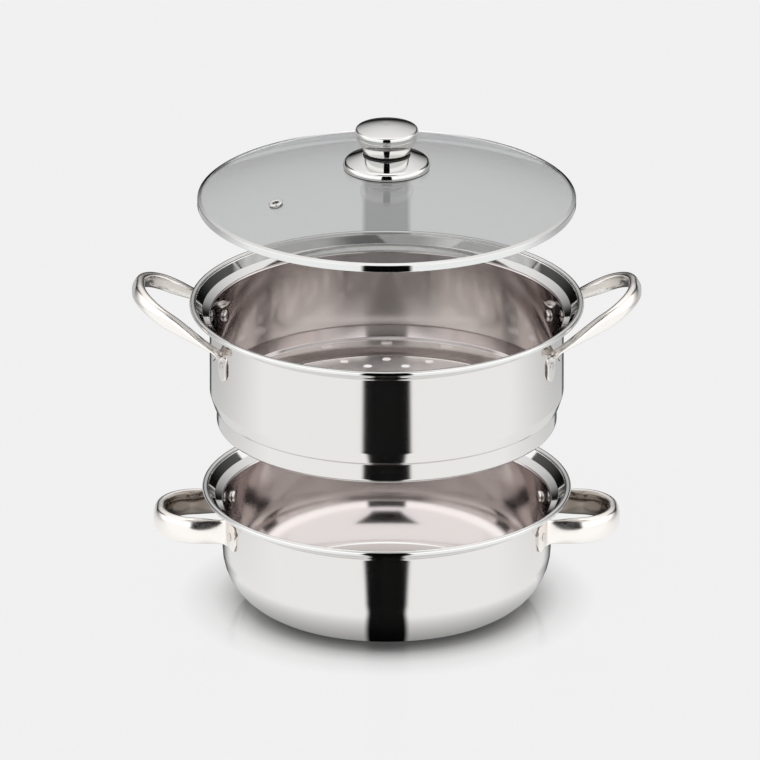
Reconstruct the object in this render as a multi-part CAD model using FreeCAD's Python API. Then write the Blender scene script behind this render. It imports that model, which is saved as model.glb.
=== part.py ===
import FreeCAD, Part
import math
import os

# Steamer pot in drawn stainless sheet: a shallow base pot, a perforated steamer tier whose foot
# stands in the rim of the base, and a domed glass lid that drops into the rim of the tier.
# Millimetres, +Z up. The origin is on the floor, under the middle of the base pot, and the handles
# point along X. The three tiers are drawn lifted apart, one above the other on their common axis.

# Sheet and fits
sheet = 0.7               # stainless sheet of both vessels
seat_gap = 0.05           # between pieces that are fixed to one another
rest_gap = 0.3            # between tiers that are stacked loose
same_point = 1e-6         # two arcs this close follow each other with no straight run between

# Stepped rim that both vessels share, from the rolled edge down to the neck
roll_radius = 2.1         # outside radius of the rolled edge
roll_tuck = 3.0           # how far the end of the roll turns back in under the edge
collar_run = 5.2          # sloping collar, measured outwards
collar_drop = 5.4
ledge_run = 6.2           # shallower ledge below the collar
ledge_drop = 4.0
rim_bend = 1.6            # bend radius between ledge and collar
neck_bend = 2.4           # bend radius between wall and ledge

# Base pot
base_height = 91.0
base_wall_radius = 121.2  # inside of the wall
base_corner = 42.0        # inside radius between floor and wall

# Steamer tier
tier_height = 96.0
tier_step_out = 9.2       # how much wider the tier is than the base
tier_lift = 60.0          # height that the tier is lifted above its seat
foot_play = 1.4           # foot of the tier to the collar of the base
foot_height = 14.6        # straight foot
foot_bend = 3.2
step_run = 2.2            # step above the foot, measured outwards
step_rise = 1.8
step_bend = 1.2
waist_height = 9.0        # lower end of the wall, tapered down to the step
waist_bend = 6.0
gutter_width = 8.0        # flat ring that the tier stands on
floor_rise = 6.6          # floor above that ring
floor_slope = 4.0
floor_bend = 2.0
panel_inset = 30.3        # middle of the floor, in from its edge, pressed up by panel_rise
panel_rise = 1.6
panel_slope = 2.4
steam_hole = 6.6          # diameter
ring_insets = (6.3, 19.3, 42.3, 56.3, 79.3)   # rings of steam holes, in from the floor's edge
ring_counts = (21, 21, 21, 14, 7)

# Lid
lid_play = 1.8            # lid band to the top of the collar
lid_lift = 80.5           # height that the lid is lifted above its seat
glass = 4.0
dome_rise = 25.5          # top of the glass, above its edge
band_sheet = 0.6
band_lip = 2.4            # how far the band laps over the glass
band_bend = 0.2           # inside bend radius of the band
vent_angle = 210.0        # vent round the axis, from +X
vent_inset = 45.5         # vent in from the edge of the lid
vent_hole = 4.6
eyelet_wall = 0.8
eyelet_flange = 10.4
eyelet_lip = 0.9          # height of each flange of the eyelet

# Knob
plate_foot = 64.6         # diameter of the bell-shaped foot plate
plate_top_width = 36.0
plate_height = 9.6
plate_lip = 3.6           # upright edge of the plate, up to its bend
plate_sheet = 1.0
plate_bend = 3.6          # bend above the lip
plate_edge = 0.6          # bend at the top of the plate
gasket_height = 1.0
gasket_width = 3.0
neck_ring = 35.2          # diameter of the soft ring between foot plate and knob
neck_ring_width = 4.0
neck_ring_height = 0.9
knob_neck = 32.6          # diameter of the knob where it stands on that ring
knob_width = 46.4
knob_height = 19.1        # neck to the widest edge
knob_bulge = 1.8          # how far the side swells beyond a straight line
knob_seam = 14.0          # height of the cup, where the cap meets it
knob_sheet = 1.0
cap_rise = 4.0            # top of the cap above the widest edge
cap_edge = 2.4            # radius of that edge
insert_height = 9.0
insert_width = 10.0
screw_width = 5.0
screw_head = 11.0
screw_head_height = 2.6
screw_grip = 7.0          # length of screw inside the threaded insert
washer_width = 15.0
washer_height = 1.0
seal_width = 18.0
seal_height = 1.6

# Rivets
rivet_shank = 5.0
rivet_head = 9.0
rivet_head_rise = 1.9
rivet_tail = 6.4
rivet_tail_rise = 0.6

# Handles: a hollow loop whose two ends are flattened and riveted to the wall
tab_sheet = 1.6
tab_corner = 6.5          # rounded corners of the flattened ends
tier_handle_depth = 56.7  # wall to the outside of the handle
tier_tab_angle = 23.0     # of each tab, from X
tier_tab_width = 14.5
tier_tab_drop = 32.0      # rivet below the rim
tier_tab_above = 10.0     # tab above the rivet
tier_tab_below = 12.0
tier_loop_tilt = 29.0
tier_loop_drop = 24.0     # root of the loop below the rim
tier_loop_taper = 21.5    # how far each arm turns in on its way from the wall
tier_loop_flat = 4.8      # half length of the straight grip between the bends
tier_root = (13.0, 2.6)   # width across the loop and height at the flattened ends
tier_grip = (7.6, 12.0)   # the same along the grip
base_handle_depth = 51.1
base_tab_angle = 19.5     # each arm leaves its tab at the edge next to the other arm
base_tab_width = 20.0
base_tab_drop = 26.0
base_tab_above = 10.5
base_tab_below = 10.5
base_loop_tilt = 1.0
base_loop_drop = 26.0
base_loop_taper = 4.9
base_loop_flat = 3.0
base_root = (2.6, 19.0)
base_grip = (11.0, 20.0)
loop_overlap = 8.0        # length of loop that is let in before the wall trims it
arm_stations = 4          # sections through which an arm swells

# Sizes that follow from those above
base_ledge_radius = base_wall_radius + ledge_run
tier_wall_radius = base_wall_radius + tier_step_out
tier_ledge_radius = tier_wall_radius + ledge_run
tier_collar_radius = tier_ledge_radius + collar_run
foot_radius = base_ledge_radius - foot_play
floor_radius = foot_radius - sheet - gutter_width - floor_slope
lid_radius = tier_collar_radius - lid_play
rim_drop = ledge_drop + collar_drop + roll_radius
base_tab_middle = base_wall_radius + sheet + seat_gap + tab_sheet / 2
base_arm_angle = base_tab_angle - math.degrees(math.asin(base_tab_width / 2 / base_tab_middle))
ledge_angle = math.atan2(ledge_drop, ledge_run)
collar_angle = math.atan2(collar_drop, collar_run)


def point(x, y, z):
    return FreeCAD.Vector(x, y, z)


def rounded_path(corners, radii):
    """Straight runs between the corners, joined by tangent arcs, as (start, middle or None, end)."""
    runs = []
    here = corners[0]
    for before, corner, after, radius in zip(corners, corners[1:], corners[2:], radii):
        back = (before - corner).normalize()
        ahead = (after - corner).normalize()
        half_angle = back.getAngle(ahead) / 2
        inwards = (back + ahead).normalize()
        reach = radius / math.tan(half_angle)
        arc_start = corner + back * reach
        arc_end = corner + ahead * reach
        arc_middle = corner + inwards * (radius / math.sin(half_angle) - radius)
        runs.append((here, None, arc_start))
        runs.append((arc_start, arc_middle, arc_end))
        here = arc_end
    runs.append((here, None, corners[-1]))
    return runs


def path_edges(runs):
    edges = []
    for start, middle, end in runs:
        if middle is not None:
            edges.append(Part.Arc(start, middle, end).toShape())
        elif start.distanceToPoint(end) > same_point:
            edges.append(Part.makeLine(start, end))
    return edges


def spun_solid(edges):
    """Solid of revolution about Z from the closed outline in the XZ plane."""
    outline = Part.Wire(Part.__sortEdges__(edges))
    return Part.Face(outline).revolve(point(0, 0, 0), point(0, 0, 1), 360)


def spun_sheet(profile, thickness):
    """Sheet of one thickness spun about Z. The profile is (radius, height, bend radius) along its
    inner side, and the thickness lies to the right of the way it runs."""
    corners = [point(radius, 0, height) for radius, height, bend in profile]
    radii = [bend for radius, height, bend in profile[1:-1]]
    ways = [(end - start).normalize() for start, end in zip(corners, corners[1:])]
    sides = [point(way.z, 0, -way.x) for way in ways]
    outer_corners = [corners[0] + sides[0] * thickness]
    outer_radii = []
    for index, radius in enumerate(radii):
        mitre = (sides[index] + sides[index + 1]).normalize()
        outer_corners.append(corners[index + 1] + mitre * (thickness / mitre.dot(sides[index])))
        turns_left = ways[index].x * ways[index + 1].z - ways[index].z * ways[index + 1].x > 0
        outer_radii.append(radius + thickness if turns_left else radius - thickness)
    outer_corners.append(corners[-1] + sides[-1] * thickness)
    edges = path_edges(rounded_path(corners, radii))
    edges += path_edges(rounded_path(outer_corners, outer_radii))
    edges.append(Part.makeLine(corners[0], outer_corners[0]))
    edges.append(Part.makeLine(corners[-1], outer_corners[-1]))
    return spun_solid(edges)


def spun_ring(inner, outer, low, high):
    ring = Part.makeCylinder(outer, high - low, point(0, 0, low))
    return ring.cut(Part.makeCylinder(inner, high - low, point(0, 0, low)))


def stepped_rim(wall_radius, top):
    """Neck, ledge, collar and rolled edge at the top of a vessel's wall."""
    ledge_radius = wall_radius + ledge_run
    collar_radius = ledge_radius + collar_run
    rim_radius = collar_radius + 2 * roll_radius
    return [
        (wall_radius, top - rim_drop, neck_bend),
        (ledge_radius, top - rim_drop + ledge_drop, rim_bend),
        (collar_radius, top - roll_radius, rim_bend),
        (collar_radius, top, roll_radius),
        (rim_radius, top, roll_radius),
        (rim_radius, top - 2 * roll_radius, roll_radius),
        (rim_radius - roll_tuck, top - 2 * roll_radius, 0),
    ]


def seat_height(slope_radius, slope_height, slope, edge_radius, edge_bend):
    """Height at which a round edge lies rest_gap above a sloping ring."""
    room = edge_bend + rest_gap + (edge_radius - edge_bend - slope_radius) * math.sin(slope)
    return slope_height - edge_bend + room / math.cos(slope)


# Heights of the lifted tiers
tier_bottom = tier_lift + seat_height(
    base_wall_radius, base_height - rim_drop, ledge_angle, foot_radius, foot_bend + sheet)
tier_top = tier_bottom + tier_height
lid_bottom = lid_lift + seat_height(
    tier_ledge_radius, tier_top - roll_radius - collar_drop, collar_angle,
    lid_radius, band_bend + band_sheet)

# Dome of the lid, and the stack of pieces on its axis
glass_radius = lid_radius - band_sheet - seat_gap
ball = (glass_radius ** 2 + dome_rise ** 2) / (2 * dome_rise)
edge_slope = math.asin(glass_radius / ball)
band_gap = seat_gap / math.cos(edge_slope)
bend_drop = band_bend * (math.tan(edge_slope) + 1 / math.cos(edge_slope))
edge_low = lid_bottom + band_bend + band_sheet + band_gap - bend_drop
edge_top = edge_low + glass / math.cos(edge_slope)
apex = edge_top + dome_rise
ball_centre = apex - ball
plate_low = ball_centre + math.sqrt(ball ** 2 - (plate_foot / 2) ** 2) + gasket_height + seat_gap
plate_top = plate_low + plate_height
ring_low = plate_top + seat_gap
knob_low = ring_low + neck_ring_height + seat_gap
cap_low = knob_low + knob_seam + seat_gap
seal_edge = ball_centre + math.sqrt((ball - glass) ** 2 - (seal_width / 2) ** 2)
seal_low = seal_edge - seat_gap - seal_height
screw_clear = screw_width / 2 + rest_gap


def dome_arc(half_width, seat, rise):
    """Round arc from the axis out to the edge of a rivet's head or tail."""
    dome = (half_width ** 2 + rise ** 2) / (2 * rise)
    half_angle = math.asin(half_width / dome) / 2
    middle = point(dome * math.sin(half_angle), 0, seat + rise - dome * (1 - math.cos(half_angle)))
    return Part.Arc(point(0, 0, seat + rise), middle, point(half_width, 0, seat)).toShape()


def rivet(wall_radius, angle, height):
    """Rivet through wall and tab: domed head inside the vessel, low upset tail on the tab."""
    half_head = rivet_head / 2
    half_tail = rivet_tail / 2
    half_shank = rivet_shank / 2
    head_seat = math.sqrt(wall_radius ** 2 - half_head ** 2) - seat_gap
    tail_seat = wall_radius + sheet + tab_sheet + 2 * seat_gap
    edges = [
        dome_arc(half_head, head_seat, -rivet_head_rise),
        Part.makeLine(point(half_head, 0, head_seat), point(half_shank, 0, head_seat)),
        Part.makeLine(point(half_shank, 0, head_seat), point(half_shank, 0, tail_seat)),
        Part.makeLine(point(half_shank, 0, tail_seat), point(half_tail, 0, tail_seat)),
        dome_arc(half_tail, tail_seat, rivet_tail_rise),
        Part.makeLine(point(0, 0, tail_seat + rivet_tail_rise), point(0, 0, head_seat - rivet_head_rise)),
    ]
    solid = spun_solid(edges)
    solid.rotate(point(0, 0, 0), point(0, 1, 0), 90)
    solid.translate(point(0, 0, height))
    solid.rotate(point(0, 0, 0), point(0, 0, 1), angle)
    return solid


def rivets(wall_radius, angles, height):
    return Part.makeCompound([rivet(wall_radius, angle, height) for angle in angles])


def rivet_angles(tab_angle):
    """Angles of the rivets of the right and of the left handle."""
    return (tab_angle, -tab_angle), (180 - tab_angle, 180 + tab_angle)


def drill_rivets(solid, wall_radius, angles, height):
    """Drills from the axis outwards, through the wall and the tab on it."""
    holes = []
    for angle in angles:
        depth = wall_radius + sheet + 2 * tab_sheet
        hole = Part.makeCylinder(rivet_shank / 2 + seat_gap, depth, point(0, 0, height), point(1, 0, 0))
        hole.rotate(point(0, 0, 0), point(0, 0, 1), angle)
        holes.append(hole)
    return solid.cut(Part.makeCompound(holes))


def tab(wall_radius, angle, width, low, high):
    """Flattened end of a handle: a plate bent to the wall, with rounded corners."""
    inner = wall_radius + sheet + seat_gap
    blank = spun_ring(inner, inner + tab_sheet, low, high)
    stamp = Part.makeBox(2 * inner, width, high - low, point(0, -width / 2, low))
    long_edges = [edge for edge in stamp.Edges if edge.Length > inner]
    stamp = stamp.makeFillet(tab_corner, long_edges)
    stamp.rotate(point(0, 0, 0), point(0, 0, 1), angle)
    return blank.common(stamp)


def loop_section(centre, way, lift, across, height):
    """Oval section of a handle, square to the way that the loop runs."""
    side = way.cross(lift)
    frame = FreeCAD.Matrix(
        side.x * across / 2, lift.x * height / 2, way.x, centre.x,
        side.y * across / 2, lift.y * height / 2, way.y, centre.y,
        side.z * across / 2, lift.z * height / 2, way.z, centre.z,
        0, 0, 0, 1)
    ring = Part.Circle(point(0, 0, 0), point(0, 0, 1), 1).toShape()
    return Part.Wire(ring.transformGeometry(frame))


def loop_handle(wall_radius, depth, arm_angle, loop_height, tilt, taper, flat, root, grip):
    """Hollow loop on the +X side: arms that swell from flattened ends, corners and a cross bar."""
    slope = math.radians(tilt)
    turn = math.radians(arm_angle)
    reach = wall_radius + sheet + depth
    outwards = point(math.cos(slope), 0, math.sin(slope))
    lift = point(-math.sin(slope), 0, math.cos(slope))
    tab_middle = wall_radius + sheet + seat_gap + tab_sheet / 2
    start = point(tab_middle * math.cos(turn), tab_middle * math.sin(turn), loop_height)
    far = start + outwards * ((reach - grip[0] / 2 - start.x) / math.cos(slope))
    outer_corner = point(far.x, start.y - taper, far.z)
    middle = point(far.x, 0, far.z)
    half_angle = (start - outer_corner).getAngle(middle - outer_corner) / 2
    corner = (outer_corner.y - flat) * math.tan(half_angle)
    arm, bend, half_bar = rounded_path([start, outer_corner, middle], [corner])
    arm_start, arm_end = arm[0], arm[2]
    arm_way = (arm_end - arm_start).normalize()
    bar_way = point(0, -1, 0)
    sections = [loop_section(arm_start - arm_way * loop_overlap, arm_way, lift, *root)]
    for step in range(arm_stations + 1):
        share = step / arm_stations
        ease = share * share * (3 - 2 * share)
        centre = arm_start + (arm_end - arm_start) * share
        across = root[0] + (grip[0] - root[0]) * ease
        height = root[1] + (grip[1] - root[1]) * ease
        sections.append(loop_section(centre, arm_way, lift, across, height))
    swell = Part.makeLoft(sections, True)
    bend_axis = arm_way.cross(bar_way)
    bend_angle = math.degrees(arm_way.getAngle(bar_way))
    bend_centre = Part.Arc(*bend).toShape().Curve.Center
    elbow = Part.Face(sections[-1]).revolve(bend_centre, bend_axis, bend_angle)
    bar = Part.Face(loop_section(half_bar[0], bar_way, lift, *grip)).extrude(middle - half_bar[0])
    half = swell.fuse([elbow, bar])
    return half.fuse(half.mirror(point(0, 0, 0), point(0, 1, 0)))


def riveted_handle(wall_radius, top, loop, tab_angle, width, rivet_height, above, below):
    """Loop and its two tabs, trimmed to the wall and drilled for the rivets."""
    handle = loop
    for angle in (tab_angle, -tab_angle):
        handle = handle.fuse(tab(wall_radius, angle, width, rivet_height - below, rivet_height + above))
    outside = wall_radius + sheet + seat_gap
    handle = handle.cut(Part.makeCylinder(outside, 2 * top))
    handle = drill_rivets(handle, wall_radius, (tab_angle, -tab_angle), rivet_height)
    return handle.removeSplitter()


def other_side(solid):
    return solid.mirror(point(0, 0, 0), point(1, 0, 0))


def base_pot_shell():
    """Drawn pot with a wide rounded bottom."""
    profile = [(0, sheet, 0), (base_wall_radius, sheet, base_corner)]
    profile += stepped_rim(base_wall_radius, base_height)
    right, left = rivet_angles(base_tab_angle)
    shell = spun_sheet(profile, sheet)
    return drill_rivets(shell, base_wall_radius, right + left, base_height - base_tab_drop)


def base_handle():
    """Wide, nearly level band handle."""
    loop = loop_handle(
        base_wall_radius, base_handle_depth, base_arm_angle, base_height - base_loop_drop,
        base_loop_tilt, base_loop_taper, base_loop_flat, base_root, base_grip)
    return riveted_handle(
        base_wall_radius, base_height, loop, base_tab_angle, base_tab_width,
        base_height - base_tab_drop, base_tab_above, base_tab_below)


def tier_shell():
    """Drawn tier: stepped rim, wall, foot that stands in the base, and raised perforated floor."""
    foot_inside = foot_radius - sheet
    low = tier_bottom + sheet
    floor = low + floor_rise
    panel_radius = floor_radius - panel_inset
    profile = [
        (0, floor + panel_rise, 0),
        (panel_radius - panel_slope, floor + panel_rise, floor_bend),
        (panel_radius, floor, floor_bend),
        (floor_radius, floor, floor_bend),
        (floor_radius + floor_slope, low, floor_bend),
        (foot_inside, low, foot_bend),
        (foot_inside, low + foot_height, step_bend),
        (foot_inside + step_run, low + foot_height + step_rise, step_bend),
        (tier_wall_radius, low + foot_height + step_rise + waist_height, waist_bend),
    ]
    profile += stepped_rim(tier_wall_radius, tier_top)
    right, left = rivet_angles(tier_tab_angle)
    shell = spun_sheet(profile, sheet)
    shell = drill_rivets(shell, tier_wall_radius, right + left, tier_top - tier_tab_drop)
    return shell.cut(steam_punches())


def steam_punches():
    """Punches for the steam holes: rings about the axis, every other one turned by half a step."""
    punches = []
    for ring, (inset, count) in enumerate(zip(ring_insets, ring_counts)):
        for step in range(count):
            turn = math.radians(90 + (step + ring % 2 / 2) * 360 / count)
            middle = floor_radius - inset
            centre = point(middle * math.cos(turn), middle * math.sin(turn), tier_bottom)
            punches.append(Part.makeCylinder(steam_hole / 2, 2 * floor_rise, centre))
    return Part.makeCompound(punches)


def tier_handle():
    """Upswept tubular handle."""
    loop = loop_handle(
        tier_wall_radius, tier_handle_depth, tier_tab_angle, tier_top - tier_loop_drop,
        tier_loop_tilt, tier_loop_taper, tier_loop_flat, tier_root, tier_grip)
    return riveted_handle(
        tier_wall_radius, tier_top, loop, tier_tab_angle, tier_tab_width,
        tier_top - tier_tab_drop, tier_tab_above, tier_tab_below)


def lid_glass():
    """Domed cap of glass, with a hole for the knob's screw and one for the vent."""
    dome = Part.makeSphere(ball, point(0, 0, ball_centre))
    dome = dome.cut(Part.makeSphere(ball - glass, point(0, 0, ball_centre)))
    dome = dome.common(Part.makeCylinder(glass_radius, 2 * apex))
    rims = [edge for edge in dome.Edges if edge.isClosed() and edge.BoundBox.XMax > glass_radius - seat_gap]
    dome = dome.makeFillet(band_bend, rims)
    screw_hole = Part.makeCylinder(screw_clear, 2 * apex)
    vent_bore = at_vent(Part.makeCylinder(vent_hole / 2 + eyelet_wall + seat_gap, 2 * ball))
    return dome.cut(Part.makeCompound([screw_hole, vent_bore]))


def lid_rim_band():
    """Channel of thin sheet rolled round the edge of the glass."""
    lip_rise = band_lip * math.tan(edge_slope)
    channel = [
        (glass_radius - band_lip, edge_low - band_gap + lip_rise, 0),
        (glass_radius + seat_gap, edge_low - band_gap, band_bend),
        (glass_radius + seat_gap, edge_top + band_gap, band_bend),
        (glass_radius - band_lip, edge_top + band_gap + lip_rise, 0),
    ]
    return spun_sheet(channel, band_sheet)


def at_vent(solid):
    """Turns a solid that stands on the dome's pole down to the vent."""
    tilt = math.degrees(math.asin((lid_radius - vent_inset) / ball))
    solid.rotate(point(0, 0, 0), point(0, 1, 0), tilt)
    solid.rotate(point(0, 0, 0), point(0, 0, 1), vent_angle)
    solid.translate(point(0, 0, ball_centre))
    return solid


def vent_eyelet():
    """Tube through the vent, flared over the glass on both sides."""
    wide = eyelet_flange / 2
    narrow = wide - eyelet_lip
    upper = ball + seat_gap
    lower = ball - glass - seat_gap - eyelet_lip
    tube = Part.makeCylinder(vent_hole / 2 + eyelet_wall, upper - lower, point(0, 0, lower))
    upper_flange = Part.makeCone(wide, narrow, eyelet_lip, point(0, 0, upper))
    lower_flange = Part.makeCone(narrow, wide, eyelet_lip, point(0, 0, lower))
    solid = tube.fuse([upper_flange, lower_flange])
    return at_vent(solid.cut(Part.makeCylinder(vent_hole / 2, 2 * ball)))


def knob_foot_plate():
    """Shallow bell that the knob stands on."""
    lip_radius = plate_foot / 2 - plate_sheet
    bell = [
        (lip_radius, plate_low, 0),
        (lip_radius, plate_low + plate_lip, plate_bend),
        (plate_top_width / 2, plate_top - plate_sheet, plate_edge),
        (screw_clear, plate_top - plate_sheet, 0),
    ]
    return spun_sheet(bell, plate_sheet)


def knob_gasket():
    """Thin ring under the lip of the foot plate, hollowed to the dome."""
    outer = plate_foot / 2 - rest_gap
    ring = spun_ring(outer - gasket_width, outer, plate_low - 2 * gasket_height, plate_low - seat_gap)
    return ring.cut(Part.makeSphere(ball + seat_gap, point(0, 0, ball_centre)))


def knob_neck_ring():
    """Soft ring that the knob stands on."""
    return spun_ring(neck_ring / 2 - neck_ring_width, neck_ring / 2, ring_low, ring_low + neck_ring_height)


def knob_blank(inset):
    """Whole form of the knob, in from its outside by the inset: swelling side and domed top."""
    foot = point(0, 0, knob_low + inset)
    neck = point(knob_neck / 2 - inset, 0, knob_low + inset)
    rim = point(knob_width / 2 - inset, 0, knob_low + knob_height - inset)
    way = (rim - neck).normalize()
    middle = (neck + rim) * 0.5 + point(way.z, 0, -way.x) * knob_bulge
    blank = spun_solid([
        Part.makeLine(foot, neck),
        Part.Arc(neck, middle, rim).toShape(),
        dome_arc(rim.x, rim.z, cap_rise),
        Part.makeLine(point(0, 0, rim.z + cap_rise), foot),
    ])
    rounds = [edge for edge in blank.Edges if edge.isClosed()]
    return blank.makeFillet(cap_edge - inset, [max(rounds, key=lambda edge: edge.BoundBox.XMax)])


def knob_shell(low, high):
    """Sheet of the knob between two heights."""
    sheet_form = knob_blank(0).cut(knob_blank(knob_sheet))
    return sheet_form.common(Part.makeCylinder(knob_width, high - low, point(0, 0, low)))


def knob_cup():
    """Hollow cup that swells upwards from the neck."""
    cup = knob_shell(knob_low, knob_low + knob_seam)
    return cup.cut(Part.makeCylinder(screw_clear, knob_low + knob_seam))


def knob_cap():
    """Domed sheet with a rounded edge, which closes the cup."""
    return knob_shell(cap_low, cap_low + knob_height + cap_rise)


def knob_insert():
    """Threaded boss on the floor of the cup."""
    low = knob_low + knob_sheet + seat_gap
    return spun_ring(screw_width / 2 + seat_gap, insert_width / 2, low, low + insert_height)


def screw_seal():
    """Soft ring under the glass, domed to it."""
    ring = spun_ring(screw_clear, seal_width / 2, seal_low, apex)
    return ring.common(Part.makeSphere(ball - glass - seat_gap, point(0, 0, ball_centre)))


def screw_washer():
    top = seal_low - seat_gap
    return spun_ring(screw_clear, washer_width / 2, top - washer_height, top)


def knob_screw():
    """Round-headed screw that holds the knob from below."""
    top = seal_low - washer_height - 2 * seat_gap
    end = knob_low + knob_sheet + screw_grip
    head = Part.makeCylinder(screw_head / 2, screw_head_height, point(0, 0, top - screw_head_height))
    head = head.makeFillet(screw_head_height / 2, [min(head.Edges, key=lambda edge: edge.BoundBox.ZMax)])
    return head.fuse(Part.makeCylinder(screw_width / 2, end - top, point(0, 0, top)))


base_right, base_left = rivet_angles(base_tab_angle)
tier_right, tier_left = rivet_angles(tier_tab_angle)
pieces = {
    "base_pot_shell": base_pot_shell(),
    "base_handle_right": base_handle(),
    "base_handle_left": other_side(base_handle()),
    "base_rivets_right": rivets(base_wall_radius, base_right, base_height - base_tab_drop),
    "base_rivets_left": rivets(base_wall_radius, base_left, base_height - base_tab_drop),
    "tier_shell": tier_shell(),
    "tier_handle_right": tier_handle(),
    "tier_handle_left": other_side(tier_handle()),
    "tier_rivets_right": rivets(tier_wall_radius, tier_right, tier_top - tier_tab_drop),
    "tier_rivets_left": rivets(tier_wall_radius, tier_left, tier_top - tier_tab_drop),
    "lid_glass": lid_glass(),
    "lid_rim_band": lid_rim_band(),
    "vent_eyelet": vent_eyelet(),
    "knob_foot_plate": knob_foot_plate(),
    "knob_gasket": knob_gasket(),
    "knob_neck_ring": knob_neck_ring(),
    "knob_cup": knob_cup(),
    "knob_cap": knob_cap(),
    "knob_insert": knob_insert(),
    "screw_seal": screw_seal(),
    "screw_washer": screw_washer(),
    "knob_screw": knob_screw(),
}

os.makedirs("parts", exist_ok=True)
for node, shape in pieces.items():
    shape.exportStep("parts/" + node + ".step")
    box = shape.BoundBox
    limits = [round(v, 2) for v in (box.XMin, box.XMax, box.YMin, box.YMax, box.ZMin, box.ZMax)]
    print(node, "valid" if shape.isValid() else "NOT VALID", len(shape.Solids), limits)
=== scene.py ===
import math

import bmesh
import bpy
from mathutils import Matrix, Vector


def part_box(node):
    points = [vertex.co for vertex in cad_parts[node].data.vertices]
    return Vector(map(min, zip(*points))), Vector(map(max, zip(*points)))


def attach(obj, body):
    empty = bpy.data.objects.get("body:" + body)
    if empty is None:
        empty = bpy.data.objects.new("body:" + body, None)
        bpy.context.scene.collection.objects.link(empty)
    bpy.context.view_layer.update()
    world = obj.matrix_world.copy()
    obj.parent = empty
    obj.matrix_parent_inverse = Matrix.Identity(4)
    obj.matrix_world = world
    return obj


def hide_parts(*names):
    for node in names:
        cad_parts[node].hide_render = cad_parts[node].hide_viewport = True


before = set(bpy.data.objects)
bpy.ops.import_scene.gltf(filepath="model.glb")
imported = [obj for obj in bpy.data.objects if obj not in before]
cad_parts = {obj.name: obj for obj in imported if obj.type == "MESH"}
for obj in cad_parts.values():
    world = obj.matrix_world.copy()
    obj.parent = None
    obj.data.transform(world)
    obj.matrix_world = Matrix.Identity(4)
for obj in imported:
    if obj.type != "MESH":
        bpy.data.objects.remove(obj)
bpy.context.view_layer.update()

# Base pot. One stainless sheet, deep drawn to a flat bottom with a wide rounded corner and then
# spun at the rim into a ledge, a sloping collar and a rolled edge. It is polished bright outside, on
# the rim and on the floor; the wall inside is duller as drawn, and painted darker as painted shade.
mm = 0.001
sheet = 0.7 * mm
base_corner = 42 * mm
roll_radius = 2.1 * mm
roll_bend = roll_radius * 0.999  # a hair under the radius, so that the bends of the roll stay apart
roll_tuck = 3.0 * mm
collar_run, collar_drop = 5.2 * mm, 5.4 * mm
ledge_run, ledge_drop = 6.2 * mm, 4.0 * mm
rim_bend, neck_bend = 1.6 * mm, 2.4 * mm
rim_width = ledge_run + collar_run + 2 * roll_radius
round_steps = 192
sharp_angle = math.radians(42)
same_place = 1e-6
floor_facing = 0.7  # least upward share of the normal of a face that counts as floor
floor_finish, rim_finish, inner_finish_and_shade = 1, 2, 3
cloud_size = 45 * mm


def linear(colour):
    """sRGB hex colour to the linear values that shaders take."""
    parts = [int(colour[i:i + 2], 16) / 255 for i in (1, 3, 5)]
    return [c / 12.92 if c <= 0.04045 else ((c + 0.055) / 1.055) ** 2.4 for c in parts] + [1]


def add(tree, kind, values={}, links={}, **settings):
    """Adds a node to a tree with its settings, input values and links."""
    new = tree.nodes.new(kind)
    for name, setting in settings.items():
        setattr(new, name, setting)
    for name, value in values.items():
        new.inputs[name].default_value = value
    for name, source in links.items():
        tree.links.new(source, new.inputs[name])
    return new


def empty_material(name):
    """A new material without nodes, and its node tree."""
    material = bpy.data.materials.new(name)
    material.use_nodes = True
    material.node_tree.nodes.clear()
    return material, material.node_tree


def spun_stainless(name, colour, roughness, line_spacing, line_depth, stretch):
    """Stainless steel polished while it spins: fine rings about the axis smear its reflections
    across themselves, and the buffing leaves soft clouds of lesser gloss. The rings are drawn about
    1 mm apart, coarser than real polishing marks, so that they show."""
    material, tree = empty_material(name)
    place = add(tree, "ShaderNodeTexCoord").outputs["Object"]
    flat = add(tree, "ShaderNodeVectorMath", {1: (1, 1, 0)}, {0: place}, operation="MULTIPLY")
    radius = add(tree, "ShaderNodeVectorMath", {}, {0: flat.outputs[0]}, operation="LENGTH")
    split = add(tree, "ShaderNodeSeparateXYZ", {}, {0: place})
    ring = add(tree, "ShaderNodeCombineXYZ", {}, {"X": radius.outputs["Value"], "Z": split.outputs["Z"]})
    lines = add(
        tree, "ShaderNodeTexNoise", {"Scale": 1 / line_spacing, "Detail": 2}, {"Vector": ring.outputs[0]})
    clouds = add(tree, "ShaderNodeTexNoise", {"Scale": 1 / cloud_size, "Detail": 2}, {"Vector": place})
    gloss = add(
        tree, "ShaderNodeMapRange", {"To Min": roughness * 0.8, "To Max": roughness * 1.2},
        {"Value": clouds.outputs["Fac"]})
    bump = add(
        tree, "ShaderNodeBump", {"Strength": 1.0, "Distance": line_depth}, {"Height": lines.outputs["Fac"]})
    round_axis = add(tree, "ShaderNodeTangent", direction_type="RADIAL", axis="Z")
    steel = add(
        tree, "ShaderNodeBsdfPrincipled",
        {"Base Color": linear(colour), "Metallic": 1, "Anisotropic": stretch, "Anisotropic Rotation": 0.25},
        {"Roughness": gloss.outputs["Result"], "Normal": bump.outputs["Normal"],
         "Tangent": round_axis.outputs["Tangent"]})
    add(tree, "ShaderNodeOutputMaterial", {}, {"Surface": steel.outputs["BSDF"]})
    return material


def round_corner(bm, corner, bend, steps):
    """Rounds one corner of a wire to a bend radius."""
    ways = [(edge.other_vert(corner).co - corner.co).normalized() for edge in corner.link_edges]
    reach = bend / math.tan(ways[0].angle(ways[1]) / 2)
    bmesh.ops.bevel(
        bm, geom=[corner], offset=reach, offset_type="ABSOLUTE", segments=steps, profile=0.5,
        affect="VERTICES", material=-1)


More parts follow.
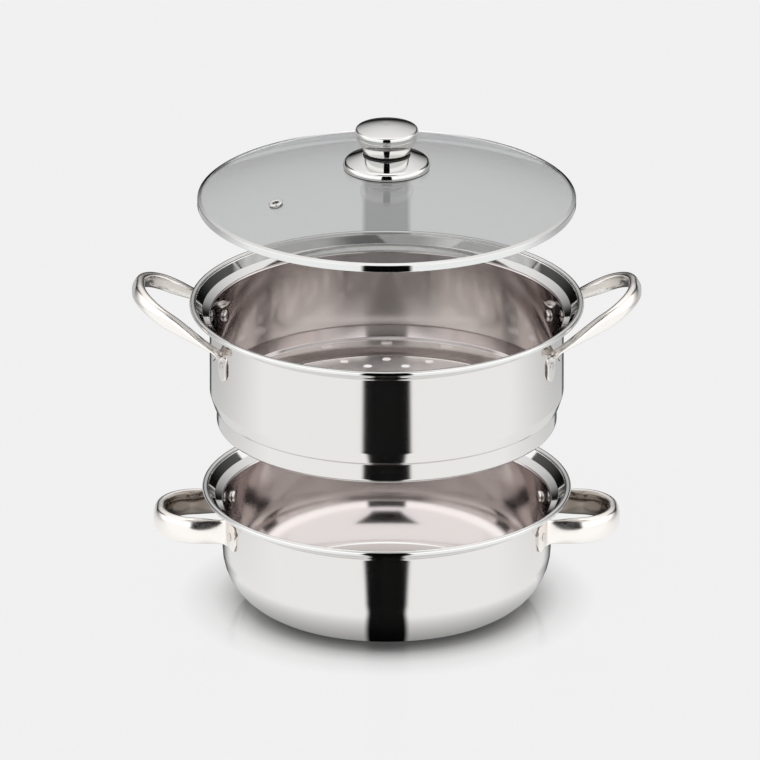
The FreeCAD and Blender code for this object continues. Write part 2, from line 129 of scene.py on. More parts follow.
def wire(bm, outline, closed=False, steps=8):
    """Draws (radius, height, bend) corners in the XZ plane, each rounded to its bend radius."""
    corners = [bm.verts.new((radius, 0, height)) for radius, height, bend in outline]
    pairs = list(zip(corners, corners[1:])) + ([(corners[-1], corners[0])] if closed else [])
    for start, end in pairs:
        bm.edges.new((start, end))
    for corner, (radius, height, bend) in zip(corners, outline):
        if bend:
            round_corner(bm, corner, bend, steps)


def spin_round(bm, steps=round_steps):
    """Turns the wires of the mesh once about Z and closes the seam and the poles."""
    bmesh.ops.spin(
        bm, geom=bm.verts[:] + bm.edges[:], cent=(0, 0, 0), axis=(0, 0, 1), angle=math.tau,
        steps=steps, use_merge=True)
    bmesh.ops.remove_doubles(bm, verts=bm.verts, dist=same_place)
    bmesh.ops.dissolve_degenerate(bm, edges=bm.edges, dist=same_place)
    bmesh.ops.recalc_face_normals(bm, faces=bm.faces)


def face_upwards(bm):
    """Turns the faces so that the one nearest to the axis looks up."""
    inner = min(bm.faces, key=lambda face: face.calc_center_median().xy.length)
    if inner.normal.z < 0:
        bmesh.ops.reverse_faces(bm, faces=bm.faces)


def finished(name, bm, material, body, slot, *nodes):
    """Makes the mesh a smooth piece that rides on a body and stands for the named nodes."""
    mesh = bpy.data.meshes.new(name)
    bm.to_mesh(mesh)
    bm.free()
    mesh.shade_smooth()
    mesh.set_sharp_from_angle(angle=sharp_angle)
    mesh.materials.append(material)
    piece = bpy.data.objects.new(name, mesh)
    bpy.context.scene.collection.objects.link(piece)
    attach(piece, body)
    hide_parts(*nodes)
    return piece


def vessel_finishes(bm, wall_radius, top, floor_radius, floor_top):
    """Sets a vessel's floor, stepped rim and inner wall apart for finishes of their own; the inner wall's
    has painted shade.
    """
    neck = top - roll_radius - collar_drop - ledge_drop
    for face in bm.faces:
        middle = face.calc_center_median()
        if face.normal.z > floor_facing and middle.xy.length < floor_radius and middle.z < floor_top:
            face.material_index = floor_finish
        elif middle.z > neck and middle.xy.length > wall_radius + 2 * sheet:
            face.material_index = rim_finish
        elif face.normal.xy.dot(middle.xy) < 0:
            face.material_index = inner_finish_and_shade


def stepped_rim(wall_radius, top):
    """Neck, ledge, collar and rolled edge, along the inner side of the sheet."""
    ledge_radius = wall_radius + ledge_run
    collar_radius = ledge_radius + collar_run
    edge_radius = collar_radius + 2 * roll_radius
    neck = top - roll_radius - collar_drop - ledge_drop
    return [
        (wall_radius, neck, neck_bend),
        (ledge_radius, neck + ledge_drop, rim_bend),
        (collar_radius, top - roll_radius, rim_bend),
        (collar_radius, top, roll_bend),
        (edge_radius, top, roll_bend),
        (edge_radius, top - 2 * roll_radius, roll_bend),
        (edge_radius - roll_tuck, top - 2 * roll_radius, 0),
    ]


base_low, base_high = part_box("base_pot_shell")
base_wall = base_high.x - rim_width
# buffed outside: long soft highlights; inside duller as drawn and painted darker, as painted shade; rim and
# floor near to a mirror
vessel_steel = spun_stainless("polished_spun_stainless", "#D9D5D2", 0.115, 1.1 * mm, 0.002 * mm, 0.75)
inner_steel_painted_shade = spun_stainless("drawn_stainless_inside_painted_shade", "#C8C1BF", 0.125, 1.1 * mm, 0.002 * mm, 0.75)
trim_steel = spun_stainless("mirror_stainless_trim", "#DAD9D7", 0.05, 0.8 * mm, 0.001 * mm, 0.3)

bm = bmesh.new()
base_outline = [(0, base_low.z + sheet, 0), (base_wall, base_low.z + sheet, base_corner)]
wire(bm, base_outline + stepped_rim(base_wall, base_high.z), steps=10)
spin_round(bm)
face_upwards(bm)
bmesh.ops.solidify(bm, geom=bm.faces[:], thickness=sheet)
vessel_finishes(bm, base_wall, base_high.z, base_wall - base_corner / 2, base_low.z + base_corner)
base_pot = finished("base_pot", bm, vessel_steel, "base_pot", "steel", "base_pot_shell")
# the last finish is the inner wall's, painted darker and browner as painted shade
for finish in (trim_steel, trim_steel, inner_steel_painted_shade):
    base_pot.data.materials.append(finish)


# Base handles. Wide bands of stainless tube, pressed to a crowned oval along the grip and flattened
# at both ends, where they turn along the wall and are riveted to it. Buffed bright outside; the
# inside of each loop is painted browner and darker, as painted shade between its arms.
wave_size, wave_depth = 18 * mm, 0.25 * mm
smudge_size = 6 * mm
path_step = 3 * mm
tab_sheet = 1.6 * mm
seat_gap = 0.05 * mm
tab_corner = 6.5 * mm
base_tab_drop = 26 * mm
base_tab_angle = math.radians(19.5)
base_arm_angle = math.radians(14.83)
base_tab_width, base_tab_height = 20 * mm, 21 * mm
base_tilt = math.radians(1)
base_tip, base_bend = 26.5 * mm, 25.9 * mm
base_grip_across, base_grip_height = 11 * mm, 20 * mm
base_root_across, base_root_height = 2.6 * mm, 19 * mm
base_turn_bend = 4.5 * mm
base_press = 8 * mm  # length over which the tube is pressed into its tab
base_square, base_square_gain = 0.15, 3.0
base_loop_middle = 12 * mm  # from the rim outwards
loop_shade_from, loop_shade_fade = 0.25, 0.5


def bright_tube(name, colour, roughness, painted_loop_shade=None):
    """Stainless tube buffed by hand: bright, with faint waves left by the pressing and smudges of
    lesser gloss. Given a second colour, the inside of a loop is painted browner, as painted shade."""
    material, tree = empty_material(name)
    place = add(tree, "ShaderNodeTexCoord").outputs["Object"]
    waves = add(tree, "ShaderNodeTexNoise", {"Scale": 1 / wave_size, "Detail": 1}, {"Vector": place})
    smudges = add(tree, "ShaderNodeTexNoise", {"Scale": 1 / smudge_size, "Detail": 3}, {"Vector": place})
    gloss = add(
        tree, "ShaderNodeMapRange", {"To Min": roughness * 0.7, "To Max": roughness * 1.4},
        {"Value": smudges.outputs["Fac"]})
    bump = add(
        tree, "ShaderNodeBump", {"Strength": 1.0, "Distance": wave_depth}, {"Height": waves.outputs["Fac"]})
    steel = add(
        tree, "ShaderNodeBsdfPrincipled", {"Base Color": linear(colour), "Metallic": 1},
        {"Roughness": gloss.outputs["Result"], "Normal": bump.outputs["Normal"]})
    # painted shade: the side of a loop that faces its middle gets the browner, darker colour
    if painted_loop_shade:
        loop_shade_mask = add(tree, "ShaderNodeAttribute", attribute_name="painted_loop_shade")
        tint = add(
            tree, "ShaderNodeMix", {"A": linear(colour), "B": linear(painted_loop_shade)},
            {"Factor": loop_shade_mask.outputs["Fac"]}, data_type="RGBA")
        tree.links.new(tint.outputs["Result"], steel.inputs["Base Color"])
    add(tree, "ShaderNodeOutputMaterial", {}, {"Surface": steel.outputs["BSDF"]})
    return material


def on_wall(radius, angle, height):
    """The point of a round wall at an angle from +X."""
    return Vector((radius * math.cos(angle), radius * math.sin(angle), height))


def smooth_path(corners, bends, steps=12):
    """Points along a line through the corners, with each inner corner rounded to its bend."""
    bm = bmesh.new()
    verts = [bm.verts.new(corner) for corner in corners]
    for start, end in zip(verts, verts[1:]):
        bm.edges.new((start, end))
    for corner, bend in zip(verts[1:-1], bends):
        if bend:
            round_corner(bm, corner, bend, steps)
    for edge in bm.edges[:]:
        cuts = int(edge.calc_length() / path_step)
        if cuts:
            bmesh.ops.subdivide_edges(bm, edges=[edge], cuts=cuts)
    here = min(bm.verts, key=lambda vert: (vert.co - corners[0]).length)
    points, before = [here.co.copy()], None
    while ahead := [edge for edge in here.link_edges if edge is not before]:
        before = ahead[0]
        here = before.other_vert(here)
        points.append(here.co.copy())
    bm.free()
    return points


def ease(share):
    """Goes smoothly from 0 to 1 while the share does."""
    share = min(max(share, 0), 1)
    return share * share * (3 - 2 * share)


def along(path):
    """Each point of a half loop from its middle, with the way on from there and the length so far."""
    so_far = 0
    for index, centre in enumerate(path):
        before = path[max(index - 1, 0)]
        after = path[min(index + 1, len(path) - 1)]
        way = (after - before).normalized() if index else Vector((0, 1, 0))
        so_far += (centre - before).length
        yield centre, way, so_far


def end_rounding(left):
    """How much narrower a tab is at this length from its end, for its rounded corners."""
    inside = max(tab_corner - left, 0)
    return 2 * (tab_corner - math.sqrt(tab_corner ** 2 - inside ** 2))


def swept_half(bm, stations, ring_points=40):
    """Skins oval sections, each (centre, way, wide axis, width, thickness, squareness)."""
    rings = []
    for centre, way, wide, width, thickness, squareness in stations:
        made = bmesh.ops.create_circle(bm, segments=ring_points, radius=1)["verts"]
        thin = way.cross(wide).normalized()
        flat = thin.cross(way).normalized()
        power = 2 / (2 + squareness)
        for vert in made:
            across = math.copysign(abs(vert.co.x) ** power, vert.co.x) * width / 2
            over = math.copysign(abs(vert.co.y) ** power, vert.co.y) * thickness / 2
            vert.co = centre + flat * across + thin * over
        rings.append(made)
    for near, far in zip(rings, rings[1:]):
        edges = [e for ring in (near, far) for v in ring for e in v.link_edges
                 if e.other_vert(v) in ring]
        bmesh.ops.bridge_loops(bm, edges=list(set(edges)))
    bmesh.ops.contextual_create(bm, geom=rings[-1])


def both_halves(bm):
    """Completes a loop with its other half, mirrored across the XZ plane."""
    bmesh.ops.mirror(
        bm, geom=bm.verts[:] + bm.edges[:] + bm.faces[:], axis="Y", merge_dist=same_place * 10)
    bmesh.ops.remove_doubles(bm, verts=bm.verts, dist=same_place * 10)
    bmesh.ops.recalc_face_normals(bm, faces=bm.faces)


def to_left(bm):
    """Turns a right-hand piece into a left-hand one."""
    bmesh.ops.scale(bm, vec=(-1, 1, 1), verts=bm.verts)
    bmesh.ops.reverse_faces(bm, faces=bm.faces)


def mark_painted_loop_shade(bm, loop_centre):
    """Marks the side of a loop that looks at its own middle, for the painted shade there."""
    mark = bm.verts.layers.float.new("painted_loop_shade")
    bm.normal_update()
    for vert in bm.verts:
        inwards = (loop_centre - vert.co.xy).normalized()
        vert[mark] = ease((inwards.dot(vert.normal.xy) - loop_shade_from) / loop_shade_fade)


def base_handle_half(bm):
    """Half of the right band: grip, arm, and the tab that turns along the wall."""
    grip_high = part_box("base_handle_right")[1]
    tab_radius = base_wall + sheet + seat_gap + tab_sheet / 2
    tab_end = base_tab_angle + base_tab_width / 2 / tab_radius
    height = base_high.z - base_tab_drop
    root = on_wall(tab_radius, base_arm_angle, height)
    far_x = grip_high.x - base_grip_across / 2
    far_z = height + (far_x - root.x) * math.tan(base_tilt)
    corners = [Vector((far_x, 0, far_z)), Vector((far_x, base_tip, far_z)), root]
    for quarter in (2, 3, 4):
        turn = base_arm_angle + (tab_end - base_arm_angle) * quarter / 4
        corners.append(on_wall(tab_radius, turn, height))
    points = list(along(smooth_path(corners, [base_bend, base_turn_bend, 0, 0])))
    lift = Vector((-math.sin(base_tilt), 0, math.cos(base_tilt)))
    length = points[-1][2]
    arm_start = base_tip + base_bend / 2
    root_at = length - (tab_end - base_arm_angle) * tab_radius
    stations = []
    for centre, way, so_far in points:
        swell = 1 - ease((so_far - arm_start) / (root_at - arm_start))
        flat = ease((so_far - root_at + base_press / 2) / base_press)
        across = base_root_across + (base_grip_across - base_root_across) * swell
        tall = base_root_height + (base_grip_height - base_root_height) * swell
        across += (tab_sheet - across) * flat
        tall += (base_tab_height - tall) * flat
        tall -= end_rounding(length - so_far)
        upright = lift.lerp(Vector((0, 0, 1)), flat)
        stations.append((centre, way, upright, tall, across, base_square + base_square_gain * flat))
    swept_half(bm, stations)


# 8F857C is painted shade inside each loop, where the arms shade each other
band_steel = bright_tube("buffed_stainless_tube_painted_loop_shade", "#EEE8E3", 0.18, "#8F857C")
for side, turn in (("right", None), ("left", to_left)):
    bm = bmesh.new()
    base_handle_half(bm)
    both_halves(bm)
    mark_painted_loop_shade(bm, Vector((base_high.x + base_loop_middle, 0)))
    if turn:
        turn(bm)
    node = "base_handle_" + side
    finished(node + "_band", bm, band_steel, "base_pot", "handle_steel", node)


# Base rivets. Solid stainless, pushed through wall and tab from inside the pot and upset on the tab,
# so that a low domed head shows inside and a smaller one outside.
rivet_head, rivet_head_rise = 9.0 * mm, 1.9 * mm
rivet_tail, rivet_tail_rise = 6.4 * mm, 0.6 * mm
rivet_shank = 5.0 * mm
rivet_round = 0.95  # share of a head's rise that is rounded
rivet_steps = 40
rivet_steel = bright_tube("plain_stainless_rivet", "#D6D3CF", 0.14)


def rivet(bm, wall_radius, angle, height):
    """Adds one rivet, laid level and set through the wall at the angle."""
    seat = math.sqrt(wall_radius ** 2 - (rivet_head / 2) ** 2) - seat_gap
    end = wall_radius + sheet + tab_sheet + 2 * seat_gap
    one = bmesh.new()
    wire(one, [
        (0, seat - rivet_head_rise, 0),
        (rivet_head / 2, seat - rivet_head_rise, rivet_head_rise * rivet_round),
        (rivet_head / 2, seat, 0),
        (rivet_shank / 2, seat, 0),
        (rivet_shank / 2, end, 0),
        (rivet_tail / 2, end, 0),
        (rivet_tail / 2, end + rivet_tail_rise, rivet_tail_rise * rivet_round),
        (0, end + rivet_tail_rise, 0),
    ])
    spin_round(one, rivet_steps)
    lying = Matrix.Translation((0, 0, height)) @ Matrix.Rotation(math.pi / 2, 4, "Y")
    place = Matrix.Rotation(angle, 4, "Z") @ lying
    bmesh.ops.transform(one, matrix=place, verts=one.verts)
    kept = bpy.data.meshes.new("rivet")
    one.to_mesh(kept)
    one.free()
    bm.from_mesh(kept)
    bpy.data.meshes.remove(kept)


for side, middle in (("right", 0), ("left", math.pi)):
    bm = bmesh.new()
    for angle in (middle - base_tab_angle, middle + base_tab_angle):
        rivet(bm, base_wall, angle, base_high.z - base_tab_drop)
    finished("base_rivet_pair_" + side, bm, rivet_steel, "base_pot", "rivet_steel", "base_rivets_" + side)


# Steamer tier. One drawn stainless sheet with the same stepped rim, a waist and a step over a
# narrower foot that stands in the rim of the base, and a raised floor punched with rings of steam holes.
foot_height, step_run, step_rise, waist_height = 14.6 * mm, 2.2 * mm, 1.8 * mm, 9.0 * mm
foot_play = 1.4 * mm
foot_bend, step_bend, waist_bend, floor_bend = 3.2 * mm, 1.2 * mm, 6.0 * mm, 2.0 * mm
gutter_width, floor_rise, floor_slope = 8.0 * mm, 6.6 * mm, 4.0 * mm
panel_inset, panel_rise, panel_slope = 30.3 * mm, 1.6 * mm, 2.4 * mm
floor_margin = 1.3 * mm
steam_hole = 6.6 * mm
ring_insets = [6.3 * mm, 19.3 * mm, 42.3 * mm, 56.3 * mm, 79.3 * mm]
ring_counts = [21, 21, 21, 14, 7]
floor_rings, panel_rings = [0, 1], [2, 3, 4]
hole_steps = 24
tier_low, tier_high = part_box("tier_shell")
tier_wall = tier_high.x - rim_width
foot_inside = base_wall + ledge_run - foot_play - sheet
floor_radius = foot_inside - gutter_width - floor_slope
panel_radius = floor_radius - panel_inset
foot_level = tier_low.z + sheet
floor_level = foot_level + floor_rise
panel_level = floor_level + panel_rise
# a floor left satin, so that it only blurs what the walls mirror, and painted lighter than the walls as
# painted light
floor_steel_painted_light = spun_stainless("satin_spun_stainless_painted_light", "#F2F0ED", 0.32, 0.9 * mm, 0.004 * mm, 0.3)


def edges_on_ring(bm, radius, level):
    """Edges of the spun mesh that lie on one circle about the axis."""
    on_ring = {v for v in bm.verts
               if abs(v.co.z - level) < same_place * 10 and abs(v.co.xy.length - radius) < same_place * 10}
    return [e for e in bm.edges if e.verts[0] in on_ring and e.verts[1] in on_ring]


def punched_flat(bm, border, rings, level):
    """Fills the flat between the border edges, leaving the steam holes of the rings open."""
    edges = list(border)
    for ring in rings:
        for step in range(ring_counts[ring]):
            turn = math.pi / 2 + (step + ring % 2 / 2) * math.tau / ring_counts[ring]
            centre = on_wall(floor_radius - ring_insets[ring], turn, level)
            hole = bmesh.ops.create_circle(
                bm, segments=hole_steps, radius=steam_hole / 2, matrix=Matrix.Translation(centre))["verts"]
            edges += {edge for vert in hole for edge in vert.link_edges}
    bmesh.ops.triangle_fill(bm, edges=edges, use_beauty=True, normal=(0, 0, 1))


bm = bmesh.new()
wire(bm, [
    (panel_radius - panel_slope - floor_margin, panel_level, 0),
    (panel_radius - panel_slope, panel_level, floor_bend),
    (panel_radius, floor_level, floor_bend),
    (panel_radius + floor_margin, floor_level, 0),
], steps=6)
wire(bm, [
    (floor_radius - floor_margin, floor_level, 0),
    (floor_radius, floor_level, floor_bend),
    (floor_radius + floor_slope, foot_level, floor_bend),
    (foot_inside, foot_level, foot_bend),
    (foot_inside, foot_level + foot_height, step_bend),
    (foot_inside + step_run, foot_level + foot_height + step_rise, step_bend),
    (tier_wall, foot_level + foot_height + step_rise + waist_height, waist_bend),
] + stepped_rim(tier_wall, tier_high.z))
spin_round(bm)
panel_edge = edges_on_ring(bm, panel_radius - panel_slope - floor_margin, panel_level)
floor_edges = edges_on_ring(bm, panel_radius + floor_margin, floor_level)
floor_edges += edges_on_ring(bm, floor_radius - floor_margin, floor_level)
punched_flat(bm, floor_edges, floor_rings, floor_level)
punched_flat(bm, panel_edge, panel_rings, panel_level)
bmesh.ops.recalc_face_normals(bm, faces=bm.faces)
face_upwards(bm)
bmesh.ops.solidify(bm, geom=bm.faces[:], thickness=sheet)
vessel_finishes(bm, tier_wall, tier_high.z, foot_inside - foot_bend, panel_level + sheet)
steamer_tier = finished("steamer_tier", bm, vessel_steel, "steamer_tier", "steel", "tier_shell")
# the floor's finish is painted lighter, as painted light; the inner wall's darker, as painted shade
for finish in (floor_steel_painted_light, trim_steel, inner_steel_painted_shade):
    steamer_tier.data.materials.append(finish)


# Tier handles. Slimmer stainless tubes that sweep up and out; each end is pressed flat, bent down
# on to the wall and riveted.
tier_tab_drop = 32 * mm
tier_tab_angle = math.radians(23)
tier_tab_width, tier_tab_below = 14.5 * mm, 12 * mm
tier_tilt, tier_loop_drop = math.radians(29), 24 * mm
tier_tip, tier_bend = 30 * mm, 34 * mm
tier_grip_across, tier_grip_height = 7.6 * mm, 12 * mm
tier_root_across, tier_root_height = 13 * mm, 2.6 * mm
tier_turn_bend = 5 * mm
tier_press = 12 * mm
tier_square, tier_square_gain = 0.6, 2.4
tier_grip_inset = 1.0 * mm  # the tilted oval reaches further out than half its width
tube_steel = bright_tube("buffed_stainless_tube", "#EAE5E0", 0.18)


def tier_handle_half(bm):
    """Half of the right tube: grip, arm, and the tab that is bent down on to the wall."""
    grip_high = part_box("tier_handle_right")[1]
    tab_radius = tier_wall + sheet + seat_gap + tab_sheet / 2
    root = on_wall(tab_radius, tier_tab_angle, tier_high.z - tier_loop_drop)
    far_x = grip_high.x - tier_grip_across / 2 - tier_grip_inset
    far_z = root.z + (far_x - root.x) * math.tan(tier_tilt)
    tab_end = on_wall(tab_radius, tier_tab_angle, tier_high.z - tier_tab_drop - tier_tab_below)
    corners = [Vector((far_x, 0, far_z)), Vector((far_x, tier_tip, far_z)), root, tab_end]
    points = list(along(smooth_path(corners, [tier_bend, tier_turn_bend])))
    lift = Vector((-math.sin(tier_tilt), 0, math.cos(tier_tilt)))
    tangent = Vector((-math.sin(tier_tab_angle), math.cos(tier_tab_angle), 0))
    length = points[-1][2]
    arm_start = tier_tip + tier_bend / 2
    root_at = length - (root.z - tab_end.z)
    stations = []
    for centre, way, so_far in points:
        swell = 1 - ease((so_far - arm_start) / (root_at - arm_start))
        flat = ease((so_far - root_at + tier_press / 2) / tier_press)
        across = tier_root_across + (tier_grip_across - tier_root_across) * swell
        tall = tier_root_height + (tier_grip_height - tier_root_height) * swell
        across += (tier_tab_width - across) * flat
        tall += (tab_sheet - tall) * flat
        across -= end_rounding(length - so_far)
        wide = lift.cross(way).normalized().lerp(tangent, flat)
        stations.append((centre, way, wide, across, tall, tier_square + tier_square_gain * flat))
    swept_half(bm, stations)


for side, turn in (("right", None), ("left", to_left)):
    bm = bmesh.new()
    tier_handle_half(bm)
    both_halves(bm)
    if turn:
        turn(bm)
    node = "tier_handle_" + side
    finished(node + "_tube", bm, tube_steel, "steamer_tier", "handle_steel", node)


# Tier rivets. The same solid stainless rivets as on the base, pushed from inside through the wall and
# the tabs of the tubes, two to a handle.
for side, middle in (("right", 0), ("left", math.pi)):
    bm = bmesh.new()
    for angle in (middle - tier_tab_angle, middle + tier_tab_angle):
        rivet(bm, tier_wall, angle, tier_high.z - tier_tab_drop)
    finished(
        "tier_rivet_pair_" + side, bm, rivet_steel, "steamer_tier", "rivet_steel", "tier_rivets_" + side)


# Lid glass. Tempered soda-lime glass, slumped to a shallow dome, with one hole for the knob's screw
# and one for the vent. It is clear with a light grey tint.
glass_thickness = 4 * mm
screw_clear = 2.8 * mm
vent_angle, vent_inset = math.radians(210), 45.5 * mm
vent_cut = 2.6 * mm
dome_steps = 84
glass_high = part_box("lid_glass")[1]
lid_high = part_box("lid_rim_band")[1]
glass_radius = glass_high.x
dome_rise = 25.5 * mm
ball = (glass_radius ** 2 + dome_rise ** 2) / (2 * dome_rise)
ball_centre = Vector((0, 0, glass_high.z - ball))
edge_slope = math.asin(glass_radius / ball)
vent_tilt = math.asin((lid_high.x - vent_inset) / ball)
vent_place = (Matrix.Translation(ball_centre) @ Matrix.Rotation(vent_angle, 4, "Z")
              @ Matrix.Rotation(vent_tilt, 4, "Y"))


def tempered_glass(name, colour):
    """Clear tempered glass with a grey tint: mirror smooth, so that it shows only its edges, its
    tint and what it reflects."""
    material, tree = empty_material(name)
    glass = add(
        tree, "ShaderNodeBsdfPrincipled",
        {"Base Color": linear(colour), "Roughness": 0.0, "IOR": 1.5, "Transmission Weight": 1})
    add(tree, "ShaderNodeOutputMaterial", {}, {"Surface": glass.outputs["BSDF"]})
    return material


lid_tint = tempered_glass("grey_tempered_glass", "#CECFCF")
bm = bmesh.new()
first_turn = math.asin(screw_clear / ball)
start = bm.verts.new(ball_centre + Vector((ball * math.sin(first_turn), 0, ball * math.cos(first_turn))))
bmesh.ops.spin(
    bm, geom=[start], cent=ball_centre, axis=(0, 1, 0), angle=edge_slope - first_turn, steps=dome_steps)
spin_round(bm, 2 * round_steps)
face_upwards(bm)
vent = vent_place @ Vector((0, 0, ball))
cut = [face for face in bm.faces if (face.calc_center_median() - vent).length < vent_cut]
bmesh.ops.delete(bm, geom=cut, context="FACES")
bmesh.ops.solidify(bm, geom=bm.faces[:], thickness=glass_thickness)
finished("lid_dome", bm, lid_tint, "lid", "glass", "lid_glass")


# Lid rim band. A strip of thin stainless rolled into a channel and closed round the edge of the
# glass. It guards the edge and lies on the tier's collar when the lid is on.
band_sheet, band_lip, band_bend = 0.6 * mm, 2.4 * mm, 0.2 * mm
band_gap = seat_gap / math.cos(edge_slope)
lip_rise = band_lip * math.tan(edge_slope)
edge_top = glass_high.z - dome_rise
edge_low = edge_top - glass_thickness / math.cos(edge_slope)

bm = bmesh.new()
wire(bm, [
    (glass_radius - band_lip, edge_low - band_gap + lip_rise, 0),
    (glass_radius + seat_gap, edge_low - band_gap, band_bend),
    (glass_radius + seat_gap, edge_top + band_gap, band_bend),
    (glass_radius - band_lip, edge_top + band_gap + lip_rise, 0),
])
spin_round(bm, 2 * round_steps)
outer = max(bm.faces, key=lambda face: face.calc_center_median().xy.length)
if outer.normal.dot(outer.calc_center_median()) > 0:
    bmesh.ops.reverse_faces(bm, faces=bm.faces)
bmesh.ops.solidify(bm, geom=bm.faces[:], thickness=band_sheet)
finished("lid_band", bm, trim_steel, "lid", "steel", "lid_rim_band")


# Vent eyelet. A short stainless tube through the glass that lets steam out; its ends are rolled over
# into flanges on both sides, which hold it.
vent_hole, eyelet_wall = 4.6 * mm, 0.8 * mm
eyelet_flange, eyelet_lip = 10.4 * mm, 0.9 * mm
bore_edge_below, bore_edge_above = 0.3 * mm, 0.5 * mm
lip_bend = eyelet_lip * 0.8
eyelet_steps = 64

bm = bmesh.new()
upper, lower = ball + seat_gap, ball - glass_thickness - seat_gap
bore, tube_radius, flange = vent_hole / 2, vent_hole / 2 + eyelet_wall, eyelet_flange / 2
wire(bm, [
    (bore, lower - eyelet_lip, bore_edge_below),
    (flange, lower - eyelet_lip, lip_bend),
    (flange, lower, 0),
    (tube_radius, lower, 0),
    (tube_radius, upper, 0),
    (flange, upper, 0),
    (flange, upper + eyelet_lip, lip_bend),
    (bore, upper + eyelet_lip, bore_edge_above),
], closed=True, steps=6)
spin_round(bm, eyelet_steps)
bmesh.ops.transform(bm, matrix=vent_place, verts=bm.verts)
finished("vent_ring", bm, trim_steel, "lid", "steel", "vent_eyelet")


# Knob foot plate. A shallow bell of pressed stainless that spreads the knob's load on the glass; its
# upright lip stands on a soft gasket.
plate_sheet, plate_lip = 1.0 * mm, 3.6 * mm
plate_bend, plate_edge = 3.6 * mm, 0.6 * mm
plate_foot, plate_neck = 64.6 * mm / 2, 36 * mm / 2
plate_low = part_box("knob_gasket")[1].z + seat_gap
plate_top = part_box("knob_neck_ring")[0].z - seat_gap
plate_slope = (plate_top - plate_sheet - plate_low - plate_lip) / (plate_foot - plate_sheet - plate_neck)
slope_rise = plate_sheet * math.hypot(1, plate_slope)

bm = bmesh.new()
wire(bm, [
    (screw_clear, plate_top, 0),
    (plate_neck + (slope_rise - plate_sheet) / plate_slope, plate_top, plate_edge + plate_sheet),
    (plate_foot, plate_low + plate_lip + slope_rise - plate_sheet * plate_slope, plate_bend + plate_sheet),
    (plate_foot, plate_low, 0),
])
spin_round(bm)
face_upwards(bm)
bmesh.ops.solidify(bm, geom=bm.faces[:], thickness=plate_sheet)
finished("knob_dish", bm, trim_steel, "lid", "steel", "knob_foot_plate")


# Knob. A hollow stainless cup that swells upwards from its neck, and a domed cap with a rounded edge
# that is pressed on to it. The seam between them shows as a fine line below the edge.
knob_sheet, cap_rise, cap_edge = 1.0 * mm, 4.0 * mm, 2.4 * mm
neck_radius, neck_edge = 32.6 * mm / 2, 0.9 * mm
knob_radius, knob_bulge = 46.4 * mm / 2, 1.8 * mm
seam_edge = 0.3 * mm
bend_share = 0.8  # part of the two wide bends that is drawn, to leave room for their neighbours
cup_low, cup_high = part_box("knob_cup")
cap_low, cap_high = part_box("knob_cap")
neck = Vector((neck_radius, 0, cup_low.z))
knob_rim = Vector((knob_radius, 0, cap_high.z - cap_rise))
flank = knob_rim - neck
flank_bend = ((flank.length / 2) ** 2 + knob_bulge ** 2) / (2 * knob_bulge)
flank_turn = math.asin(flank.length / 2 / flank_bend)
flank_corner = (neck + knob_rim) / 2
flank_corner += Vector((flank.z, 0, -flank.x)).normalized() * flank.length / 2 * math.tan(flank_turn)
cap_ball = (knob_radius ** 2 + cap_rise ** 2) / (2 * cap_rise)
cap_corner = cap_ball * math.tan(math.asin(knob_radius / cap_ball) / 2)


def knob_skin(bm, seam, wanted):
    """Spins the whole knob, keeps the part above or below the seam and eases its edge there."""
    wire(bm, [
        (screw_clear, neck.z, 0),
        (neck.x, neck.z, neck_edge),
        (flank_corner.x, flank_corner.z, flank_bend * bend_share),
        (knob_rim.x, knob_rim.z, cap_edge),
        (cap_corner, cap_high.z, cap_ball * bend_share),
        (0, cap_high.z, 0),
    ], steps=16)
    spin_round(bm)
    bmesh.ops.bisect_plane(
        bm, geom=bm.verts[:] + bm.edges[:] + bm.faces[:], plane_co=(0, 0, seam), plane_no=(0, 0, 1),
        clear_outer=wanted == "cup", clear_inner=wanted == "cap")
    outer = max(bm.faces, key=lambda face: face.calc_center_median().xy.length)
    if outer.normal.dot(outer.calc_center_median() * Vector((1, 1, 0))) < 0:
        bmesh.ops.reverse_faces(bm, faces=bm.faces)
    edge_radius = max(v.co.xy.length for v in bm.verts if abs(v.co.z - seam) < same_place)
    bmesh.ops.solidify(bm, geom=bm.faces[:], thickness=knob_sheet)
    bmesh.ops.bevel(
        bm, geom=edges_on_ring(bm, edge_radius, seam), offset=seam_edge, segments=3, profile=0.5,
        affect="EDGES", material=-1)


bm = bmesh.new()
knob_skin(bm, cup_high.z, "cup")
finished("knob_body", bm, trim_steel, "lid", "steel", "knob_cup")
bm = bmesh.new()
knob_skin(bm, cap_low.z, "cap")
finished("knob_top", bm, trim_steel, "lid", "steel", "knob_cap")


# Knob fixing. Under the glass a steel screw with its washer and a soft silicone seal, a silicone
# gasket between glass and plate and a silicone ring at the neck; the thread is a steel boss inside.
grain_size = 0.8 * mm


def matt_silicone(name, colour):
    """Moulded silicone rubber: matt and dark, with a dusty grain that is drawn coarse to show."""
    material, tree = empty_material(name)
    place = add(tree, "ShaderNodeTexCoord").outputs["Object"]
    grain = add(tree, "ShaderNodeTexNoise", {"Scale": 1 / grain_size, "Detail": 2}, {"Vector": place})
    gloss = add(
        tree, "ShaderNodeMapRange", {"To Min": 0.5, "To Max": 0.65}, {"Value": grain.outputs["Fac"]})
    rubber = add(
        tree, "ShaderNodeBsdfPrincipled", {"Base Color": linear(colour)},
        {"Roughness": gloss.outputs["Result"]})
    add(tree, "ShaderNodeOutputMaterial", {}, {"Surface": rubber.outputs["BSDF"]})
    return material


seal_rubber = matt_silicone("black_silicone", "#1C1B1B")
fixing = {
    seal_rubber: ("knob_gasket", "knob_neck_ring", "screw_seal"),
    rivet_steel: ("knob_insert", "screw_washer", "knob_screw"),
}
for material, nodes in fixing.items():
    for node in nodes:
        node_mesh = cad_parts[node].data
        node_mesh.materials.clear()
        node_mesh.materials.append(material)


